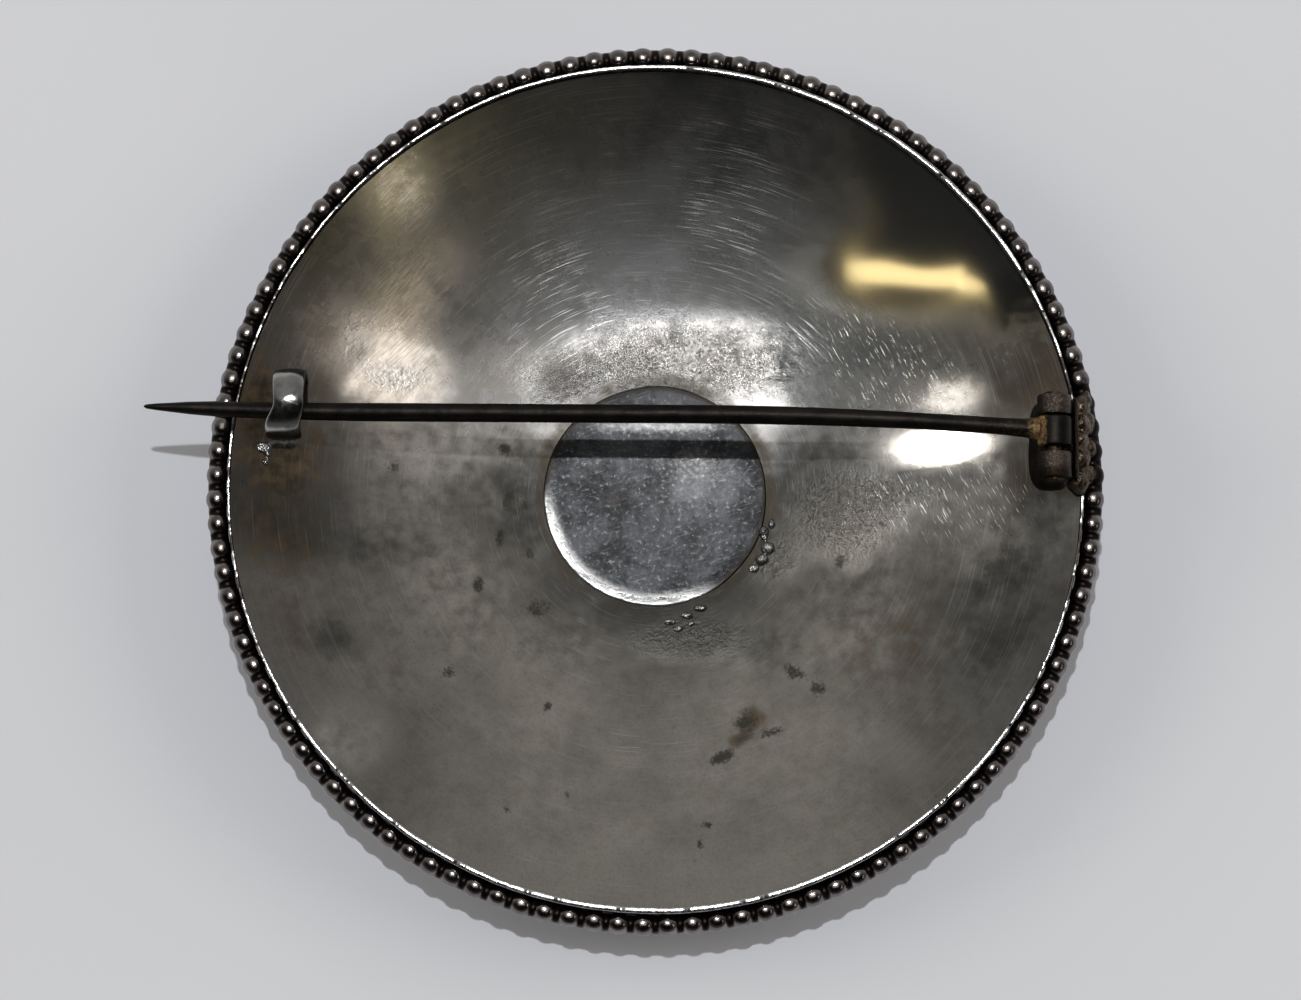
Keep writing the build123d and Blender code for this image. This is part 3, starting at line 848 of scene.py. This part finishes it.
def lumps(name, blobs, material, recess, seed, bumps, voxel=0.07):
    """One solid of overlapping lumps, joined and roughened. A blob is its middle and half sizes."""
    shape = bmesh.new()
    for x, y, z, half_x, half_y, half_z in blobs:
        place = Matrix.Translation((x, y, z)) @ Matrix.Diagonal((half_x, half_y, half_z, 1))
        bmesh.ops.create_icosphere(shape, subdivisions=3, radius=1, matrix=place)
    mesh = bpy.data.meshes.new(name + "_raw")
    shape.to_mesh(mesh)
    shape.free()
    raw = bpy.data.objects.new(name + "_raw", mesh)
    scene.collection.objects.link(raw)
    join = raw.modifiers.new("join", "REMESH")
    join.mode = "VOXEL"
    join.voxel_size = voxel
    joined = bpy.data.meshes.new_from_object(raw.evaluated_get(bpy.context.evaluated_depsgraph_get()))
    points = np.array([vertex.co for vertex in joined.vertices])
    normals = np.array([vertex.normal for vertex in joined.vertices])
    faces = [tuple(face.vertices) for face in joined.polygons]
    rough = bumps * noise_at(points, 0.45, seed) + 0.5 * bumps * noise_at(points, 0.17, seed + 1)
    points += normals * rough[:, None]
    bpy.data.objects.remove(raw)
    bpy.data.meshes.remove(mesh)
    bpy.data.meshes.remove(joined)
    new_piece(name, points, faces, material, sharp=180.0, recess=recess)


def blobs_on_dish(rows):
    """Blobs that sit on the dish, from the pixel, the half sizes and how far each is sunk."""
    for x, y, half_x, half_y, half_z, sunk in rows:
        place = on_dish(x, y)
        yield place.x, place.y, place.z + half_z * (1 - sunk), half_x, half_y, half_z


# Drops of solder at the plate's edge and at the catch
solder_grime = (0.05, 0.04, 0.03, 1)
solder_silver = worn_silver("solder_silver", tint(0.40, 1, 0.98, 0.95), solder_grime, 0.05, 0.24, 0.14)
plate_drops = [
    (764, 534, 0.26, 0.40, 0.18, 0.8), (768, 548, 0.36, 0.34, 0.20, 0.8),
    (762, 560, 0.36, 0.30, 0.18, 0.8), (772, 524, 0.20, 0.26, 0.13, 0.85),
    (754, 569, 0.30, 0.22, 0.13, 0.85), (700, 608, 0.30, 0.16, 0.13, 0.85),
    (686, 616, 0.34, 0.18, 0.13, 0.85), (670, 622, 0.34, 0.16, 0.12, 0.85),
    (678, 629, 0.24, 0.16, 0.12, 0.85), (692, 624, 0.20, 0.14, 0.10, 0.85),
]
lumps("plate_solder", blobs_on_dish(plate_drops), solder_silver, recess=0.22, seed=61, bumps=0.07)
catch_drops = [
    (268, 452, 0.20, 0.30, 0.13, 0.5), (266, 462, 0.17, 0.20, 0.11, 0.5), (276, 444, 0.5, 0.25, 0.14, 0.8),
    (262, 447, 0.3, 0.3, 0.12, 0.9), (288, 444, 0.5, 0.3, 0.12, 0.9),
]
lumps("catch_solder", blobs_on_dish(catch_drops), solder_silver, recess=0.30, seed=63, bumps=0.035)

# Hinge knuckles, rolled from thick sheet round the rivet
hinge_grime_and_shade = (0.03, 0.02, 0.014, 1)
hinge_silver = worn_silver("hinge_silver", tint(0.12, 1.2, 0.97, 0.80), hinge_grime_and_shade, 0.06, 0.24, 0.12)
bore = rivet_radius + 0.02
for name, side, end, seed in (("near_knuckle", 0.10, 1.42, 51), ("far_knuckle", 3.30, 4.32, 52)):
    middle = (side + end) / 2
    knuckle_profile = [
        (bore, side + 0.05), (bore, middle), (bore, end - 0.05), (bore + 0.06, end),
        (knuckle_radius - 0.12, end), (knuckle_radius - 0.03, end - 0.04), (knuckle_radius, end - 0.14),
        (knuckle_radius, middle), (knuckle_radius, side + 0.14), (knuckle_radius - 0.03, side + 0.04),
        (knuckle_radius - 0.12, side), (bore + 0.06, side),
    ]
    points, faces = solid(rolled(knuckle_profile, bar_around), loop=True)
    outside = np.hypot(points[:, 0] - hinge_x, points[:, 2] - pin_height) > 0.6
    hammered = np.abs(0.035 * noise_at(points, 0.6, seed) + 0.015 * noise_at(points, 0.25, seed + 10))
    points = points - (hammered * outside)[:, None] * np.array([0.6, 0, 0.8])
    # The -Y end of the near knuckle is painted darker, as painted shade; the rest is dirt all over the
    # knuckles
    recess = 0.46 + 0.5 * smooth_step(0.55, 0.0, points[:, 1])
    new_piece(name, points, faces, hinge_silver, recess=recess)

# Foot under the knuckles
foot_steps = 14
foot_top = slot_floor_height - 0.02
foot_path = np.linspace((hinge_x, foot_side, foot_bottom), (hinge_x, foot_side, foot_top), foot_steps)
foot_half_x, foot_half_y = np.linspace(1.25, 0.70, foot_steps), np.linspace(2.35, 2.10, foot_steps)
foot_rings = sweep(foot_path, x_way, y_way, foot_half_x, foot_half_y, 4.0)
new_piece("hinge_foot", *solid(foot_rings, noise=(0.05, 0.9, 53)), hinge_silver, recess=0.5)

# Wall behind the knuckles, and crusted solder between the hinge, the lip and the beads
wall_steps = 28
wall_path = np.linspace((wall_x, 0.25, wall_height), (wall_x, 4.15, wall_height), wall_steps)
wall_ends = soft_ends(wall_steps, 0.7)
wall_rings = sweep(wall_path, x_way, z_way, 0.15 * wall_ends, 0.85 * wall_ends, 3.0, 28)
new_piece("hinge_back", *solid(wall_rings, noise=(0.03, 0.6, 54)), hinge_silver, recess=0.85)
crust_grime = (0.045, 0.03, 0.014, 1)
crusted_solder = worn_silver("crusted_solder", tint(0.14, 1.25, 0.95, 0.70), crust_grime, 0.04, 0.22, 0.16)
hinge_blobs = [
    (22.85, 0.2, 4.5, 0.55, 0.7, 0.75), (22.9, 1.3, 4.8, 0.55, 0.8, 0.8), (22.85, 2.1, 5.2, 0.5, 0.6, 0.75),
    (22.95, 3.0, 4.8, 0.5, 0.7, 0.7), (22.9, 3.9, 4.6, 0.5, 0.7, 0.7), (22.3, 2.0, 5.4, 0.35, 0.45, 0.25),
    (23.3, 0.6, 4.1, 0.4, 0.6, 0.5), (23.35, 1.9, 4.2, 0.4, 0.5, 0.5), (23.35, 3.2, 4.2, 0.4, 0.6, 0.5),
    (23.2, 4.4, 4.2, 0.35, 0.45, 0.5),
]
lumps("hinge_solder", hinge_blobs, crusted_solder, recess=0.45, seed=65, bumps=0.09)

# Rivet, with peened heads
steel = dark_steel()
rivet_profile = [
    (0.28, -0.06), (0.42, -0.04), (rivet_head_radius, 0.02), (rivet_head_radius, 0.06), (rivet_radius, 0.09),
    (rivet_radius, 2.2), (rivet_radius, 4.33), (rivet_head_radius, 4.36), (rivet_head_radius, 4.40),
    (0.42, 4.46), (0.28, 4.48),
]
fixed_rivet = ("brooch", "pin_steel", "hinge_rivet")
new_piece("rivet", *solid(rolled(rivet_profile, 32)), steel, fixed_rivet, rust=0.45)

# Pin: point, gentle front bend, straight middle, rear bend, neck and eye
slope = -pin_side_drop / (rear_bend_x - front_bend_x)
pin_stations = [
    (tip_x, 0.03), (tip_x + 0.12, 0.11), (tip_x + 0.6, 0.17), (point_x - 1.3, 0.32),
    (point_x, point_root_radius), (front_bend_x, pin_radius), (rear_bend_x + 3.0, pin_radius),
    (neck_x - 5.0, 0.42), (neck_x - 1.0, 0.43), (neck_x, 0.47), (neck_x + neck_length, neck_radius),
    (hinge_x, neck_radius),
]
pin_bends = [(front_bend_x, point_x, pin_side_at_point), (rear_bend_x, neck_x, neck_side)]


def side_of_pin(x):
    """Side of the pin's middle at a place along it: straight between its bends, and past a bend a
    curve to a place at a given side, then straight on."""
    side = pin_side + slope * (x - front_bend_x)
    for bend_x, far_x, far_side in pin_bends:
        past = (x - bend_x) / (far_x - bend_x)
        if past > 0:
            gain = far_side - (pin_side + slope * (far_x - front_bend_x))
            side += gain * (past**2 if past < 1 else 2 * past - 1)
    return side


pin_xs = np.concatenate([
    np.linspace(tip_x + 0.002, tip_x + 0.6, 10)[:-1],
    np.linspace(tip_x + 0.6, neck_x, 150)[:-1],
    np.linspace(neck_x, hinge_x - 0.75, 14),
])
pin_path = np.array([(x, side_of_pin(x), pin_height) for x in pin_xs])
pin_radii = np.interp(pin_xs, *zip(*pin_stations))
wire_points, wire_faces = solid(sweep(pin_path, y_way, z_way, pin_radii, pin_radii, 2.0, pin_around))
rust = 0.35 * smooth_step(neck_x - 6.0, neck_x - 1.0, wire_points[:, 0])
rust += 0.4 * bell(wire_points[:, 0], 20.65, 0.35)
pin_wire = new_piece("pin_wire", wire_points, wire_faces, steel, turning_pin, rust=rust)
pin_wire.visible_glossy = False
eye_start, eye_end = eye_sides
eye_profile = [
    (eye_bore_radius, eye_start + 0.06), (eye_bore_radius, eye_end - 0.06), (eye_bore_radius + 0.06, eye_end),
    (eye_radius - 0.10, eye_end), (eye_radius - 0.02, eye_end - 0.06), (eye_radius, eye_end - 0.2),
    (eye_radius, eye_start + 0.2), (eye_radius - 0.02, eye_start + 0.06), (eye_radius - 0.10, eye_start),
    (eye_bore_radius + 0.06, eye_start),
]
eye_points, eye_faces = solid(rolled(eye_profile, bar_around), loop=True)
rust = 0.2 + 0.6 * smooth_step(hinge_x - 0.2, hinge_x - 0.7, eye_points[:, 0])
new_piece("pin_eye", eye_points, eye_faces, steel, turning_pin, rust=rust)

# Enamel on the domed front
turn = full_turn(enamel_around)
enamel_back = front_ball_radius + enamel_gap
enamel_front = enamel_back + enamel_thickness
enamel_middle, enamel_edge = 0.2, lip_inner_radius - 0.04
front_radii = np.linspace(enamel_middle, enamel_edge, 50)
back_radii = np.linspace(enamel_edge, enamel_middle, 16)
enamel_rings = [polar(radius, turn, dish_height(radius, enamel_front)) for radius in front_radii]
enamel_rings += [polar(radius, turn, dish_height(radius, enamel_back)) for radius in back_radii]
new_piece("enamel_dome", *solid(enamel_rings), blue_enamel(), ("brooch", "enamel", "enamel_front"))

# Floor
bpy.ops.mesh.primitive_plane_add(size=4.0, location=(0, 0, 0))
floor = bpy.context.object
floor.name = "floor"
floor.data.materials.append(pale_floor())


def aim(thing, target, roll=0.0):
    """Point a thing at a target, with its width lying east to west, turned by a roll in degrees."""
    back = (Vector(thing.location) - Vector(target)).normalized()
    width = Vector((1, 0, 0))
    width = (width - width.dot(back) * back).normalized()
    turned = Matrix((width, back.cross(width), back)).transposed() @ Matrix.Rotation(radians(roll), 3, "Z")
    thing.rotation_euler = turned.to_euler()


def over(east, north, distance):
    """A place at a distance over the brooch, by degrees east and north of straight above."""
    e, n = sin(radians(east)), sin(radians(north))
    return Vector((e, n, sqrt(1 - e**2 - n**2))) * distance


def mirrored(x, y):
    """The place of a panel that the camera sees mirrored in the dish at a pixel of the photograph."""
    point = on_dish(x, y)
    ray = (point - camera_place).normalized()
    normal = (Vector((disc_x, 0, ball_centre_height)) - point).normalized()
    return (point + (ray - 2 * ray.dot(normal) * normal) * panel_distance / MM) * MM


def soft_light(name, place, width, height, watts, colour, seen, on=(), shadow=False, roll=0.0):
    """A panel that faces the brooch. Seen says whether matt and whether glossy surfaces take its
    light, and on names the only pieces that take it, where it isn't all of them."""
    data = bpy.data.lights.new(name, "AREA")
    data.shape = "RECTANGLE"
    data.size, data.size_y = width, height
    data.energy = watts
    data.color = colour
    light = bpy.data.objects.new(name, data)
    light.location = place
    light.visible_diffuse, light.visible_glossy = seen
    scene.collection.objects.link(light)
    aim(light, (disc_x * MM, 0, 0.002), roll)
    if on:
        data.use_shadow = shadow
        takers = bpy.data.collections.new(name + "_takers")
        for piece in on:
            takers.objects.link(piece)
        light.light_linking.receiver_collection = takers


# Lights: a small flash that throws the pin's shadow, with its own strength in each kind of piece's
# gloss, walls and fills, and panels that show in the dish alone
matt_only, gloss_only = (True, False), (False, True)
small_pieces = [piece for piece in all_pieces if piece not in (dish, plate)]
flash_place = over(-1.0, 10.3, 1.0)
soft_light("flash", flash_place, flash_size, flash_size, 3.7, cool, matt_only)
for name, watts, pieces in (
    ("flash_glint", 4.8, small_pieces),
    ("flash_sheen", 0.85, [dish]),
    ("flash_on_plate", 2.4, [plate]),
):
    soft_light(name, flash_place, flash_size, flash_size, watts, white, gloss_only, pieces, shadow=True)
soft_light("east_strip", over(50, -12, 1.0), 0.06, 0.4, 0.25, white, gloss_only, [beads])
soft_light("bead_haze", over(0, 8, 1.0), 0.6, 0.6, 1.1, warm, gloss_only, [beads])
soft_light("west_wall", over(-60, 10, 1.4), 0.7, 0.9, 4.8, warm, matt_only)
soft_light("east_wall", over(60, 10, 1.4), 0.7, 0.9, 5.3, warm, matt_only)
soft_light("floor_fill", over(45, -10, 1.0), 0.3, 0.3, 0.75, white, matt_only, [floor])
for name, x, y, width, height, watts, colour, roll in (
    ("left_panel", 385, 362, 0.085, 0.06, 0.105, (1.0, 0.84, 0.70), 0),
    ("right_panel", 944, 462, 0.068, 0.020, 0.12, (1.0, 0.97, 0.92), 0),
    ("right_haze", 954, 408, 0.062, 0.036, 0.052, (1.0, 0.84, 0.64), 0),
    ("middle_panel", 655, 368, 0.170, 0.034, 0.36, white, 0),
    ("lamp", 905, 275, 0.080, 0.0120, 0.0105, lamp_yellow, -3),
    ("lamp_end", 973, 286, 0.014, 0.0105, 0.0014, lamp_yellow, -30),
    ("lamp_west", 395, 182, 0.06, 0.065, 0.048, (1.0, 0.84, 0.45), 0),
):
    soft_light(name, mirrored(x, y), width, height, watts, colour, gloss_only, [dish], roll=roll)

# Surroundings: dark over the -Y side, lighter over the +Y side, pale round the horizon, which shows
# less in glossy surfaces
world = bpy.data.worlds.new("studio")
scene.world = world
world.use_nodes = True
sky = Nodes(world.node_tree)
way = sky.node("ShaderNodeTexCoord").outputs["Generated"]
way = sky.node("ShaderNodeSeparateXYZ", {0: way}).outputs
northward = sky.rise(way["Y"], -0.12, 0.62, 0.012, 0.30)
level = sky.rise(way["Z"], 0.1, 0.6, 0.5, 0)
glossy = sky.node("ShaderNodeLightPath").outputs["Is Glossy Ray"]
share = sky.node("ShaderNodeMapRange", {"Value": glossy, 3: 1.0, 4: 0.3}).outputs[0]
background = sky.tree.nodes["Background"]
sky.put(background.inputs["Color"], (1.0, 0.99, 0.97, 1))
sky.put(background.inputs["Strength"], sky.plus(northward, sky.times(level, share)))

# Camera
camera_data = bpy.data.cameras.new("camera")
camera_data.sensor_width = sensor_width
camera_data.lens = camera_lens
camera_data.clip_start = 0.01
camera = bpy.data.objects.new("camera", camera_data)
camera.location = camera_place * MM
scene.collection.objects.link(camera)
aim(camera, camera_target * MM)
scene.camera = camera
scene.view_settings.view_transform = "Standard"
